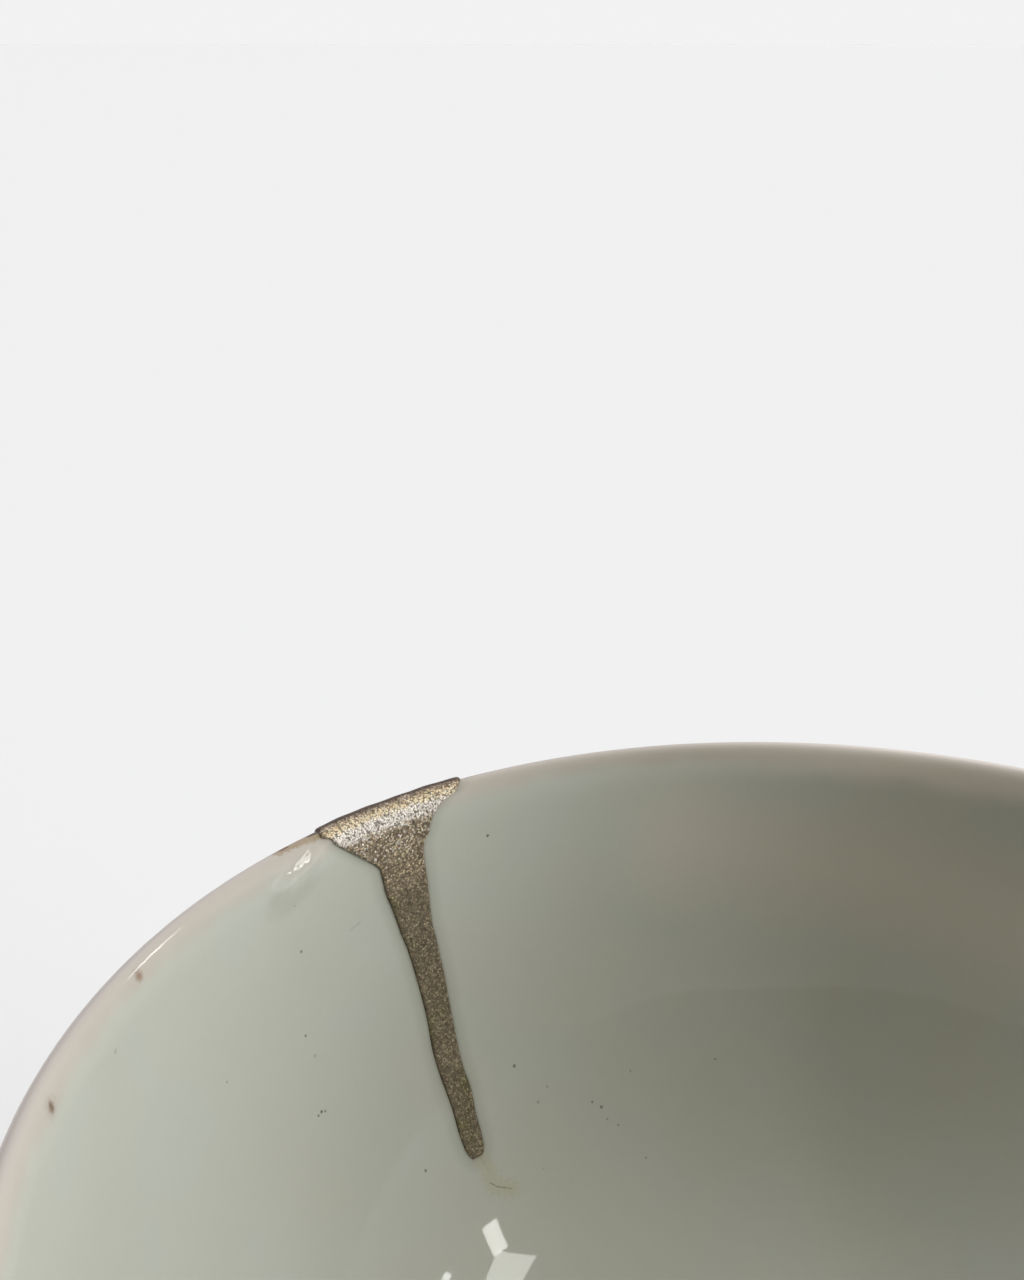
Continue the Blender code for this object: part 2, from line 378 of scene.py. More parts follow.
@dataclass(frozen=True)
class WallSection:
    """The wall in section: cavity, lip, outside and foot, as one line of radius and height."""

    rim_radius: float
    height: float
    lip_thickness: float = 2.0 * MM
    lip_rise: float = 1.0 * MM
    lip_shoulder: float = 1.8 * MM
    crest_inset: float = 0.85 * MM
    wall_at_foot: float = 4.5 * MM
    floor_thickness: float = 4.3 * MM
    fullness: float = 2.5
    foot_radius: float = 22.5 * MM
    foot_ring_width: float = 3.2 * MM
    recess_depth: float = 4.7 * MM
    foot_edge: float = 0.6 * MM
    foot_fillet: float = 1.2 * MM
    inner_lip_pull: tuple = (0.02 * MM, 0.89, 0.75 * MM)
    outer_lip_pull: tuple = (0.50 * MM, 0.55 * MM)
    steps: int = 3001
    lip_steps: tuple = (80, 60)
    fillet_steps: int = 20
    bend_steps: int = 16
    spacing: float = 0.25 * MM
    normal_reach: float = 0.05 * MM
    line: Array = field(init=False, repr=False)
    runs: Array = field(init=False, repr=False)

    def __post_init__(self) -> None:
        """Work the section line out once, and the run along it."""
        inside = self._cavity_side()
        outside = self._outer_side()
        line = np.concatenate([inside, outside[1:]])
        length = lengths(line)
        object.__setattr__(self, "line", line)
        object.__setattr__(self, "runs", length[len(inside) - 1] - length)

    @property
    def rim_plane(self) -> float:
        """Height where the wall's faces end and the lip's rounding starts."""
        return self.height - self.lip_rise

    @property
    def cavity_radius(self) -> float:
        """Radius of the cavity at the rim."""
        return self.rim_radius - self.lip_thickness

    @property
    def crest(self) -> tuple[float, float]:
        """Highest point of the lip, as radius and height."""
        return self.rim_radius - self.crest_inset, self.height

    def cavity(self, turn: Array) -> Array:
        """Superellipse of the cavity: radius R cos(t)^(2/n), depth D sin(t)^(2/n), rim at 0, floor at 90."""
        power = 2.0 / self.fullness
        depth = self.rim_plane - self.recess_depth - self.floor_thickness
        across = np.clip(np.cos(turn), 0.0, None) ** power
        down = np.clip(np.sin(turn), 0.0, None) ** power
        return np.stack([self.cavity_radius * across, self.rim_plane - depth * down], axis=1)

    def _cavity_side(self) -> Array:
        """Line from the middle of the floor up to the crest, its lip one curve pulled at both ends."""
        wall = self.cavity(np.linspace(math.pi / 2.0, 0.0, self.steps))
        wall[0, 0] = 0.0
        wall = wall[wall[:, 1] < self.rim_plane - self.lip_shoulder]
        start, crest = wall[-1], np.array(self.crest)
        out, rise, back = self.inner_lip_pull
        pulled = start + (out, rise * self.lip_shoulder)
        lip = bezier((start, pulled, crest - (back, 0.0), crest), self.lip_steps[0])
        return np.concatenate([wall, lip[1:]])

    def _outer_side(self) -> Array:
        """Line from the crest down the outside, round the foot ring to the middle of the recess.

        The belly is the cavity's line moved out along its normal by the wall's thickness, which grows from
        the lip to the foot with the square of the sine of the turn.
        """
        crest = np.array(self.crest)
        rim = np.array([self.rim_radius, self.rim_plane])
        out, rise = self.outer_lip_pull
        lip = bezier((crest, crest + (out, 0.0), rim + (0.0, rise), rim), self.lip_steps[1])
        turn = np.linspace(0.0, math.pi / 2.0, self.steps)
        inner = self.cavity(turn)
        slope = np.gradient(inner, axis=0)
        normal = np.stack([-slope[:, 1], slope[:, 0]], axis=1)
        normal /= np.linalg.norm(normal, axis=1)[:, None]
        normal[0] = (1.0, 0.0)
        grow = (self.wall_at_foot - self.lip_thickness) * np.sin(turn) ** 2
        belly = inner + normal * (self.lip_thickness + grow)[:, None]
        corner = self.foot_radius
        join = float(np.interp(-corner, -belly[:, 0], belly[:, 1]))
        start = corner + self.foot_fillet
        fillet_top = np.array([start, float(np.interp(-start, -belly[:, 0], belly[:, 1]))])
        belly = belly[belly[:, 0] > start]
        fillet_end = (corner, join - self.foot_fillet)
        fillet = self._bend(fillet_top, (corner, join), fillet_end, self.fillet_steps)
        edge, recess = self.foot_edge, corner - self.foot_ring_width
        roof, soft, count = self.recess_depth, self.foot_fillet, self.bend_steps
        pieces = [
            lip,
            belly[1:],
            fillet,
            self._bend((corner, edge), (corner, 0.0), (corner - edge, 0.0), count),
            self._bend((recess + edge, 0.0), (recess, 0.0), (recess, edge), count),
            self._bend((recess, roof - soft), (recess, roof), (recess - soft, roof), count),
            np.array([[0.0, roof]]),
        ]
        return self._filled(np.concatenate(pieces))

    @staticmethod
    def _bend(start: Sequence[float], corner: Sequence[float], end: Sequence[float], count: int) -> Array:
        """Quadratic curve that rounds a corner: a cubic with inner points two thirds of the way to it."""
        first, middle, last = (np.array(point, float) for point in (start, corner, end))
        return bezier((first, first + (middle - first) * 2 / 3, last + (middle - last) * 2 / 3, last), count)

    def _filled(self, line: Array) -> Array:
        """Add points on the long straight stretches, one spacing apart."""
        length = lengths(line)
        every = np.unique(np.concatenate([length, np.arange(0.0, length[-1], self.spacing)]))
        return np.stack([np.interp(every, length, line[:, axis]) for axis in (0, 1)], axis=1)

    def at(self, run: Array) -> tuple[Array, Array]:
        """Place and outward normal of the section at a run.

        Args:
            run: distances along the section from the crest.

        Returns:
            Two arrays with radius and height in their last axis: the points, and the unit normals that
            point out of the porcelain.
        """
        along = self._point(run + self.normal_reach) - self._point(run - self.normal_reach)
        normal = np.stack([along[..., 1], -along[..., 0]], axis=-1)
        return self._point(run), normal / np.linalg.norm(normal, axis=-1)[..., None]

    def _point(self, run: Array) -> Array:
        """Radius and height at a run."""
        runs, line = self.runs[::-1], self.line[::-1]
        return np.stack([np.interp(run, runs, line[:, axis]) for axis in (0, 1)], axis=-1)

    def place(self, azimuth: float, run: float) -> Vector:
        """Point of the wall's surface at an azimuth and a run."""
        return Vector(turned(self._point(np.array(run)), np.array(azimuth)))


@dataclass(frozen=True)
class Break:
    """The chip and the crack in the wall, as the fill's edges on both faces.

    Azimuth is measured from +Y towards +X. Reaches are distances across the wall, left negative, at a run
    from the crest, in millimetres.
    """

    azimuth: float = math.radians(-37.7)
    far_away: float = 20.0 * MM
    left_inside: tuple = (
        (0.0, -8.1), (0.6, -8.1), (0.9, -7.5), (1.4, -7.2), (1.9, -6.7), (3.1, -5.3), (3.9, -4.4),
        (4.5, -3.75), (5.0, -3.3), (5.7, -3.1), (7.2, -2.85), (9.0, -2.3), (11.4, -1.7), (12.9, -1.3),
        (15.0, -0.95), (18.8, -0.65), (22.0, -0.85), (26.8, -0.72), (28.7, -0.88), (30.3, -0.80),
        (30.8, -0.52),
    )
    right_inside: tuple = (
        (0.0, 5.2), (0.5, 4.7), (1.0, 4.0), (1.25, 3.05), (1.6, 2.6), (2.1, 2.05), (2.8, 1.68), (3.4, 1.5),
        (4.0, 1.12), (4.6, 0.95), (5.7, 1.0), (7.4, 1.15), (9.3, 1.2), (11.3, 1.25), (12.9, 1.45),
        (16.3, 1.7), (20.0, 1.62), (23.8, 1.42), (25.6, 1.5), (27.2, 1.25), (29.4, 1.0), (30.2, 0.82),
        (30.6, 0.6), (30.8, 0.3),
    )
    left_outside: tuple = (
        (0.0, -8.1), (1.3, -7.9), (2.6, -7.1), (4.4, -4.7), (5.6, -3.4), (7.5, -2.9), (10.0, -2.1),
        (14.0, -1.2), (19.0, -0.8), (24.0, -0.95), (28.6, -0.9), (29.6, -0.6),
    )
    right_outside: tuple = (
        (0.0, 5.2), (0.7, 5.7), (1.4, 5.9), (2.4, 5.0), (3.4, 3.2), (4.8, 1.4), (6.0, 1.0), (9.0, 1.25),
        (14.0, 1.5), (19.0, 1.7), (24.0, 1.35), (28.2, 0.9), (29.6, -0.2),
    )

    @property
    def inside_length(self) -> float:
        """Run of the crack's tip on the cavity side."""
        return self.left_inside[-1][0] * MM

    @property
    def outside_length(self) -> float:
        """Run of the crack's tip on the outside, counted positive."""
        return self.left_outside[-1][0] * MM

    @staticmethod
    def _edge(inside: tuple, outside: tuple, run: Array) -> Array:
        """Reach of one edge, in metres: its inside curve down the cavity, its outside curve elsewhere."""
        step = run / MM
        return np.where(run >= 0, through(inside, step), through(outside, -step)) * MM

    def edges(self, run: Array) -> tuple[Array, Array]:
        """Left and right reach of the fill, in metres, at runs that are positive down the cavity."""
        left = self._edge(self.left_inside, self.left_outside, run)
        return left, self._edge(self.right_inside, self.right_outside, run)

    def distance_outside(self, azimuth: Array, run: Array, radius: Array) -> Array:
        """Distance from points of the wall to the fill: 0 on it, a set far value on the cup's other half."""
        across = radius * np.sin(np.clip(azimuth - self.azimuth, -math.pi / 2, math.pi / 2))
        far = np.cos(azimuth - self.azimuth) < 0.0
        left, right = self.edges(run)
        side = np.maximum(np.maximum(left - across, across - right), 0.0)
        below = np.maximum(np.where(run > 0, run - self.inside_length, -run - self.outside_length), 0.0)
        return np.where(far, self.far_away, np.hypot(side, below))


@dataclass(frozen=True)
class GlazeWaves:
    """Slow unevenness of the glaze, and a roll of clear lacquer on the lip's inside left of the repair.

    A wave is given as its count round the cup, its phase for each millimetre of run, its phase at the crest
    and its size. Fades are runs in millimetres: the waves grow between the first two, go between the others.
    """

    height: float = 0.035 * MM
    waves: tuple = ((3, 0.11, 0.0, 0.9), (7, -0.23, 1.3, 0.7), (13, 0.37, 0.4, 0.5), (5, 0.62, 2.1, 0.35))
    inside_fades: tuple = (1.0, 8.0, 55.0, 68.0)
    outside_fades: tuple = (1.5, 8.0, 36.0, 44.0)
    roll_height: float = 0.50 * MM
    roll_azimuth: float = math.radians(-51.4)
    roll_radius: float = 47.0 * MM
    roll_run: float = 1.66 * MM
    roll_slant: float = 0.25
    roll_length: float = 2.6 * MM
    roll_ripple: float = 0.012 * MM
    roll_flank: float = 0.84 * MM
    roll_fall: tuple = (0.5, 3.2)
    ripple_phases: tuple = (5.5, 2.0)

    def roll(self, azimuth: Array, run: Array) -> Array:
        """Height of the lacquer roll.

        Down the section it rises evenly along its flank, round a run that slants along the rim, and falls
        off slowly below. Along the rim a soft window holds it, with a fine ripple on it.

        Args:
            azimuth: angles from +Y towards +X.
            run: runs along the section.

        Returns:
            The height at each point.
        """
        along = (azimuth - self.roll_azimuth) * self.roll_radius
        down = (run - self.roll_run + self.roll_slant * along) / MM
        window = np.exp(-((along / self.roll_length) ** 4))
        flank = np.clip(down * MM / self.roll_flank + 0.5, 0.0, 1.0) * (1.0 - smooth(*self.roll_fall, down))
        ripple = np.sin(self.ripple_phases[0] * along / MM + self.ripple_phases[1] * down)
        return window * flank * (self.roll_height + self.roll_ripple * ripple)

    def at(self, azimuth: Array, run: Array) -> Array:
        """Height of the waves above the plain turned form.

        The waves are sines of the azimuth times whole numbers, with the run as their phase, and they fade
        out towards the crest of the lip, the middle of the floor and the foot.
        """
        step = run / MM
        waves = sum(
            size * np.sin(count * azimuth + rate * step + phase) for count, rate, phase, size in self.waves
        )
        shown = self._shown(self.inside_fades, step) + self._shown(self.outside_fades, -step)
        return self.height * waves * shown + self.roll(azimuth, run)

    @staticmethod
    def _shown(fades: tuple, step: Array) -> Array:
        """Share of the waves that shows at runs in millimetres along one face."""
        start, full, fall, end = fades
        return smooth(start, full, step) * (1.0 - smooth(fall, end, step))


@dataclass(frozen=True)
class Mark:
    """A spot or a stroke in the glaze, through points given as azimuth in degrees and run in millimetres."""

    points: tuple
    reach: float
    colour: tuple
    strength: float = 1.0
    ragged: float = 0.3
    core: float = 0.35


def specks() -> tuple:
    """Fine dark iron specks, on the cavity where the run is positive and on the outside where negative.

    Returns:
        The specks, from rows of azimuth in degrees, run and size in millimetres, and strength.
    """
    dark = (0.045, 0.043, 0.038)
    places = (
        (-29.11, 5.40, 0.17, 0.85), (-51.82, 8.54, 0.19, 0.80), (-53.14, 15.06, 0.16, 0.75),
        (-52.68, 16.92, 0.20, 0.30), (-53.98, 21.02, 0.18, 0.85), (-54.50, 21.12, 0.15, 0.70),
        (-53.52, 21.18, 0.14, 0.65), (-63.73, 13.80, 0.16, 0.45), (-77.26, 3.73, 0.24, 0.28),
        (-52.15, 4.52, 0.18, 0.22), (-29.55, 25.33, 0.19, 0.70), (-27.80, 28.71, 0.17, 0.40),
        (-26.16, 27.79, 0.15, 0.40), (-20.94, 29.95, 0.16, 0.60), (-19.92, 30.52, 0.20, 0.65),
        (-19.51, 31.56, 0.15, 0.45), (-18.25, 32.22, 0.14, 0.45), (-44.90, 29.63, 0.19, 0.75),
        (-15.28, 28.17, 0.15, 0.40), (-4.40, 27.97, 0.15, 0.45), (-15.51, 35.22, 0.15, 0.40),
        (-30.00, 33.75, 0.14, 0.35), (63.0, 12.0, 0.18, 0.60), (112.0, 20.5, 0.17, 0.55),
        (151.0, 9.0, 0.16, 0.60),
        (-128.0, 17.0, 0.18, 0.55), (24.0, -14.0, 0.18, 0.55), (-96.0, -22.0, 0.20, 0.60),
        (-160.0, -9.0, 0.16, 0.60), (137.0, -30.0, 0.19, 0.50), (78.0, -19.0, 0.16, 0.55),
        (-12.0, -33.0, 0.18, 0.50),
    )
    return tuple(Mark(((turn, run),), size * MM, dark, strength) for turn, run, size, strength in places)


def stains() -> tuple:
    """Brown spots by the lip, the fine crack with its stain, a scratch, the stained rim and a painted warm
    reflection on the far wall.

    Returns:
        The marks.
    """
    rust, straw, warm = (0.24, 0.135, 0.075), (0.47, 0.43, 0.27), (0.63, 0.60, 0.53)
    # Path of a painted warm reflection across the far wall.
    warm_reflection_path = ((-7.0, 9.0), (6.0, 10.5), (18.0, 12.0), (31.0, 13.5))
    crack = ((-37.60, 30.5), (-37.23, 31.7), (-37.03, 32.4), (-37.67, 33.0), (-36.95, 33.5), (-35.30, 34.1))
    return (
        Mark(((-72.00, 1.00),), 0.62 * MM, rust, 0.76, 0.3, 0.0),
        Mark(((-87.40, 1.28), (-87.50, 1.42)), 0.46 * MM, (0.13, 0.095, 0.07), 0.90, 0.3, 0.0),
        Mark(((-87.45, 1.34),), 0.95 * MM, rust, 0.30, 0.4, 0.0),
        Mark(crack, 1.00 * MM, straw, 0.40, 0.9),
        Mark(crack[:3], 0.075 * MM, (0.27, 0.235, 0.125), 0.40, 0.8),
        Mark(crack[3:], 0.105 * MM, (0.17, 0.155, 0.095), 0.62, 0.5),
        Mark(((-45.75, 9.05), (-44.45, 8.75)), 0.09 * MM, (0.20, 0.20, 0.17), 0.45, 0.1),
        Mark(((-52.4, -0.15), (-50.5, 0.0), (-47.6, 0.12)), 0.56 * MM, (0.30, 0.215, 0.105), 0.75, 0.6),
        Mark(((-51.9, -0.18), (-51.2, -0.15)), 0.22 * MM, (0.14, 0.055, 0.030), 0.85, 0.4),
        Mark(((-48.6, -0.15), (-47.6, -0.10)), 0.26 * MM, (0.07, 0.045, 0.025), 0.90, 0.4),
        Mark(((-30.6, -0.30), (-28.4, -0.35)), 0.28 * MM, (0.24, 0.150, 0.090), 0.50, 0.6),
        # Painted warm reflection on the far wall, right of the middle.
        Mark(warm_reflection_path, 8.5 * MM, warm, 0.85, 0.2, 0.0),
    )


@dataclass(frozen=True)
class GlazeFinish:
    """Pale celadon glaze, thin and warm at the lip, with painted light on the lip toward +X.

    It has specks, brown spots, a fine crack and the crack's stain, painted shade beside the repair and a
    painted warm reflection on the far wall. Waves are the noise's waves per metre.
    """

    body: tuple = (0.525, 0.535, 0.475)
    thin: tuple = (0.493, 0.455, 0.402)
    # Colour of the painted light on the lip toward +X.
    painted_lip_light: tuple = (0.76, 0.71, 0.65)
    cool: tuple = (0.505, 0.530, 0.500)
    biscuit: tuple = (0.50, 0.43, 0.34)
    # Dark colour of the painted shade beside the repair and of the darkening at its edge.
    dark_beside_repair: tuple = (0.17, 0.155, 0.11)
    roughness: float = 0.42
    gloss: float = 0.5
    gloss_roughness: float = 0.03
    refraction: float = 1.5
    shine: float = 0.22
    foot_roughness: float = 0.4
    plain_tone: float = 0.935
    cloud_tone: float = 0.09
    cloud_waves: float = 55.0
    grain_tone: float = 0.03
    grain_waves: float = 1400.0
    mottle: tuple = (0.46, 0.66, 0.0, 0.35)
    mottle_waves: float = 105.0
    lip_wander: float = 1.4 * MM
    lip_waves: float = 260.0
    lip_band: tuple = (2.0 * MM, 0.3 * MM)
    # Where the painted light on the lip lies: depths below the rim, then a step across X.
    painted_lip_light_band: tuple = (3.6 * MM, 1.0 * MM)
    painted_lip_light_across: tuple = (-9.0 * MM, 13.0 * MM, 0.0, 0.9)
    # Painted shade within 1.4 mm of the proud gold, then a darker band right at its edge.
    painted_shade_beside_repair: tuple = (0.0, 1.4 * MM, 0.24, 0.0)
    edge_darkening: tuple = (0.30 * MM, 0.02 * MM, 0.0, 0.35)
    mark_waves: float = 3800.0
    foot_line: tuple = (0.9 * MM, 0.6 * MM)
    relief: float = 0.010 * MM
    relief_waves: float = 420.0

    def build(self, section: WallSection) -> bpy.types.Material:
        """Make the material.

        Args:
            section: the wall, for its levels and the marks' places.

        Returns:
            The glaze.
        """
        bench = Bench(bpy.data.materials.new("celadon_glaze"))
        level = bench.uneven(bench.part(bench.place, "Z"), self.lip_waves, self.lip_wander)
        across = bench.part(bench.place, "X")
        thin = [section.height - depth for depth in self.lip_band]
        painted_lip_light = [section.height - depth for depth in self.painted_lip_light_band]
        tone = self.plain_tone + bench.noise(self.cloud_waves, 3.0) * self.cloud_tone
        tone = tone + bench.noise(self.grain_waves) * self.grain_tone
        mottle = bench.step(bench.noise(self.mottle_waves, 1.0), *self.mottle)
        colour = bench.blend(mottle, self.body, self.cool)
        colour = bench.blend(bench.step(level, *thin), colour, self.thin)
        # Painted light: the lip's top few millimetres turn lighter toward +X, where they catch light from
        # above.
        pale = bench.step(level, *painted_lip_light) * bench.step(across, *self.painted_lip_light_across)
        colour = bench.scaled(bench.blend(pale, colour, self.painted_lip_light), tone)
        near = bench.attribute("repair_distance")
        # Painted shade: the glaze darkens softly within 1.4 mm of the proud gold, and more right at the
        # repair's edge.
        for reach in (self.painted_shade_beside_repair, self.edge_darkening):
            colour = bench.blend(bench.step(near, *reach), colour, self.dark_beside_repair)
        waves = {"Vector": bench.place, "Scale": self.mark_waves}
        shift = bench.node("ShaderNodeTexNoise", {}, waves, "Color")
        shift = bench.vector("SUBTRACT", shift, (0.5, 0.5, 0.5))
        for mark in stains() + specks():
            colour = bench.blend(self._mask(bench, mark, section, shift), colour, mark.colour)
        foot = bench.step(level, *self.foot_line)
        colour = bench.blend(foot, colour, self.biscuit)
        constants = {
            "IOR": self.refraction,
            "Specular IOR Level": self.shine,
            "Coat Roughness": self.gloss_roughness,
        }
        links = {
            "Base Color": colour,
            "Roughness": self.roughness + foot * self.foot_roughness,
            "Coat Weight": self.gloss - foot * self.gloss,
            "Normal": bench.bump(bench.noise(self.relief_waves, 1.0), self.relief),
        }
        return bench.finish(constants, links)

    @staticmethod
    def _mask(bench: Bench, mark: Mark, section: WallSection, shift: Wire) -> Wire:
        """Share of a mark's colour at each point: full on its line, none beyond its reach.

        The distance to a stroke is the least of the distances to its straight parts, where each part's
        nearest point is its start plus its direction times the point's share along it, held to 0 to 1.

        Args:
            bench: the material.
            mark: the spot or stroke.
            section: the wall, for the points' places.
            shift: noise vector about zero that makes the edge ragged.

        Returns:
            The share.
        """
        places = [section.place(math.radians(turn), run * MM) for turn, run in mark.points]
        rough = bench.vector("ADD", bench.place, bench.scaled(shift, 2.0 * mark.ragged * mark.reach))
        if len(places) == 1:
            away = bench.vector("DISTANCE", rough, places[0], "Value")
        for start, end in zip(places, places[1:]):
            way = end - start
            from_start = bench.vector("SUBTRACT", rough, start)
            share = bench.vector("DOT_PRODUCT", from_start, way / way.length_squared, "Value")
            nearest = bench.scaled(way, share.most(0.0).least(1.0))
            part = bench.vector("DISTANCE", from_start, nearest, "Value")
            away = part if start is places[0] else away.least(part)
        return bench.step(away, mark.reach, mark.reach * mark.core, 0.0, mark.strength)


@dataclass(frozen=True)
class GoldFinish:
    """Sprinkled gold powder in brown lacquer: tilted flakes, duller and finer down the crack.

    Waves are the noise's waves per metre, and the bands along the run are pairs of metres. The band below the
    crest is a painted highlight, yellow near the crest and pinkish white further down.
    """

    gold: tuple = (0.66, 0.51, 0.36)
    # Colours of the painted highlight below the crest, and caps on its brightness.
    highlight_yellow: tuple = (0.90, 0.62, 0.31)
    highlight_white: tuple = (1.0, 0.88, 0.80)
    highlight_yellow_limit: tuple = (0.97, 0.84, 0.62)
    highlight_white_limit: tuple = (0.99, 0.90, 0.84)
    dull: tuple = (0.42, 0.345, 0.240)
    aged: tuple = (0.40, 0.35, 0.210)
    lacquer: tuple = (0.095, 0.072, 0.046)
    rim_lacquer: tuple = (0.075, 0.046, 0.025)
    flakes_per_metre: float = 6800.0
    flake_tilt: float = 1.6
    flake_dome: float = 0.25
    relief: float = 0.085 * MM
    relief_share: float = 0.9
    # Runs of the painted highlight's band and of its whitening.
    highlight_start: tuple = (0.10 * MM, 0.75 * MM)
    highlight_end: tuple = (2.2 * MM, 1.5 * MM)
    highlight_white_start: tuple = (0.55 * MM, 1.20 * MM)
    highlight_wander: float = 0.6 * MM
    highlight_waves: float = 1500.0
    crack_runs: tuple = (2.0 * MM, 9.0 * MM)
    patches: tuple = (0.55, 0.70)
    patch_waves: float = 520.0
    grain_waves: float = 6500.0
    dense: tuple = (0.80, 0.45)
    bare: tuple = (0.44, 0.37)
    bare_waves: float = 4200.0
    fringe: tuple = (-0.04 * MM, 0.13 * MM)
    fringe_wander: float = 0.30 * MM
    fringe_waves: float = 2600.0
    rim_inside: tuple = (0.30 * MM, -0.05 * MM)
    rim_outside: tuple = (-1.9 * MM, -1.3 * MM)
    rim_wander: float = 0.2 * MM
    rim_waves: float = 900.0
    shine: float = 0.3
    gloss_roughness: float = 0.28

    def build(self) -> bpy.types.Material:
        """Make the material.

        Returns:
            The gold lacquer.
        """
        bench = Bench(bpy.data.materials.new("gold_lacquer"))
        edge, run = bench.attribute("edge_distance"), bench.attribute("run")
        cells = {"Vector": bench.place, "Scale": self.flakes_per_metre}
        chance, gap, centre = (
            bench.node("ShaderNodeTexVoronoi", {"feature": "F1"}, cells, output)
            for output in ("Color", "Distance", "Position")
        )
        tilt = bench.vector("SUBTRACT", chance, (0.5, 0.5, 0.5))
        offset = bench.scaled(bench.vector("SUBTRACT", bench.place, centre), self.flakes_per_metre)
        slope = bench.vector("DOT_PRODUCT", tilt, offset, "Value")
        flakes = 0.5 + slope * self.flake_tilt - gap * self.flake_dome
        normal = bench.bump(flakes, self.relief, self.relief_share)
        pick = bench.part(chance, "X")
        # Painted highlight: a band below the crest turns the powder yellow, then pinkish white, brighter and
        # less metallic and glossy.
        ragged = bench.uneven(run, self.highlight_waves, self.highlight_wander)
        painted_highlight = bench.step(ragged, *self.highlight_start) * bench.step(ragged, *self.highlight_end)
        down = bench.step(run, *self.crack_runs)
        patches = bench.step(bench.noise(self.patch_waves, 1.0), *self.patches)
        colour = bench.blend(down, self.gold, bench.blend(patches, self.dull, self.aged))
        highlight_whiteness = bench.step(ragged, *self.highlight_white_start)
        highlight_colour = bench.blend(highlight_whiteness, self.highlight_yellow, self.highlight_white)
        colour = bench.blend(painted_highlight * (0.35 + pick * 0.65), colour, highlight_colour)
        grains = bench.noise(self.grain_waves) * (0.6 - down * 0.15) + pick**3.0 * (2.6 - down * 1.75)
        powder = 0.08 + down * 0.20 + grains + painted_highlight * (0.60 + highlight_whiteness * 0.60 + pick * 0.80)
        limit = bench.blend(highlight_whiteness, self.highlight_yellow_limit, self.highlight_white_limit)
        flake = bench.vector("MINIMUM", bench.scaled(colour, powder), limit)
        dense = bench.step(gap, *self.dense)
        fringe = bench.step(bench.uneven(edge, self.fringe_waves, self.fringe_wander), *self.fringe)
        even = 0.28 + down * 0.37 - painted_highlight * 0.10
        cover = (dense * (1.0 - even) + even) * fringe
        bare = bench.step(bench.noise(self.bare_waves), *self.bare) * (1.0 - down)
        cover = cover * (1.0 - bare * 0.75)
        rim = bench.step(bench.uneven(run, self.rim_waves, self.rim_wander), *self.rim_inside)
        rim = rim * bench.step(run, *self.rim_outside)
        colour = bench.blend(cover, self.lacquer, flake)
        colour = bench.blend(rim * 0.92, colour, self.rim_lacquer)
        constants = {"Coat Roughness": self.gloss_roughness, "Specular IOR Level": self.shine}
        links = {
            "Base Color": colour,
            "Metallic": cover * (0.58 - painted_highlight * 0.44) * (1.0 - rim),
            "Roughness": 0.28 + pick * 0.14 + down * 0.12 + rim * 0.2,
            "Coat Weight": (1.0 - down) * (1.0 - rim) * (0.6 - painted_highlight * 0.35),
            "Normal": normal,
        }
        return bench.finish(constants, links)


@dataclass(frozen=True)
class FloorFinish:
    """Plain pale studio paper."""

    colour: tuple = (0.794, 0.809, 0.802)

    def build(self) -> bpy.types.Material:
        """Make the material of the paper."""
        constants = {"Base Color": (*self.colour, 1.0), "Roughness": 0.9, "Specular IOR Level": 0.0}
        return Bench(bpy.data.materials.new("studio_paper")).finish(constants, {})


@dataclass
class WallPart:
    """What every part of the wall is built on: its section, the break in it and the glaze's waves."""

    section: WallSection
    gap: Break
    waves: GlazeWaves


